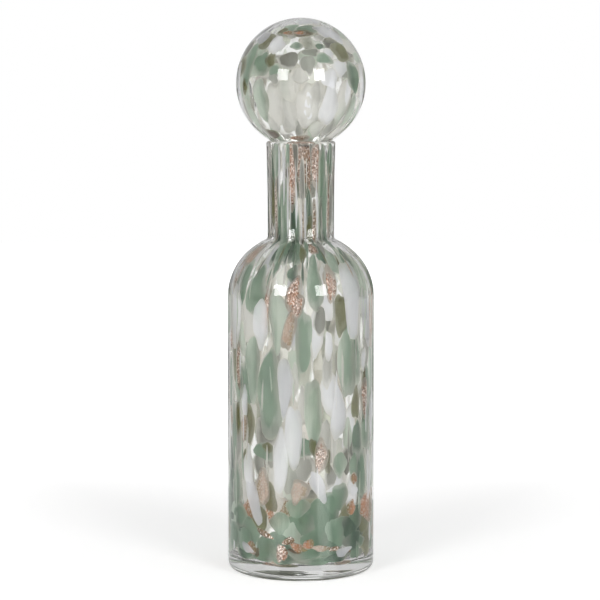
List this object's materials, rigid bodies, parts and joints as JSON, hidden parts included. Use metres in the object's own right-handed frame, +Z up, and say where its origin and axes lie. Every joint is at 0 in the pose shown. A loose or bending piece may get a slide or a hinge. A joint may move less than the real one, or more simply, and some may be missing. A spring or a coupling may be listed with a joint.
{
  "type": "stoppered glass bottle",
  "caption": "Tall round-shouldered bottle of clear cased glass flecked with green, white and copper chips, closed by a hollow glass ball on a loose shank.",
  "frame": {"origin": "centre of the bottle's foot, on the surface it stands on", "axes": "+Z up along the bottle's axis, +X to the viewer's right, -Y towards the viewer"},
  "size_m": [0.12, 0.12, 0.45],
  "materials": {
    "clear_glass": "polished",
    "chip_glass": "polished",
    "ground_glass": "satin"
  },
  "bodies": {
    "bottle": {"bottle_body": "clear_glass", "bottle_neck": "clear_glass", "bottle_lining": "chip_glass"},
    "stopper": {"stopper_ball_casing": "clear_glass", "stopper_ball_lining": "chip_glass", "stopper_shank": "ground_glass"}
  },
  "joints": [
    {"name": "stopper_lift", "type": "slide", "parent": "bottle", "child": "stopper", "axis": [0, 0, 1], "range_m": [0, 0.07]}
  ]
}
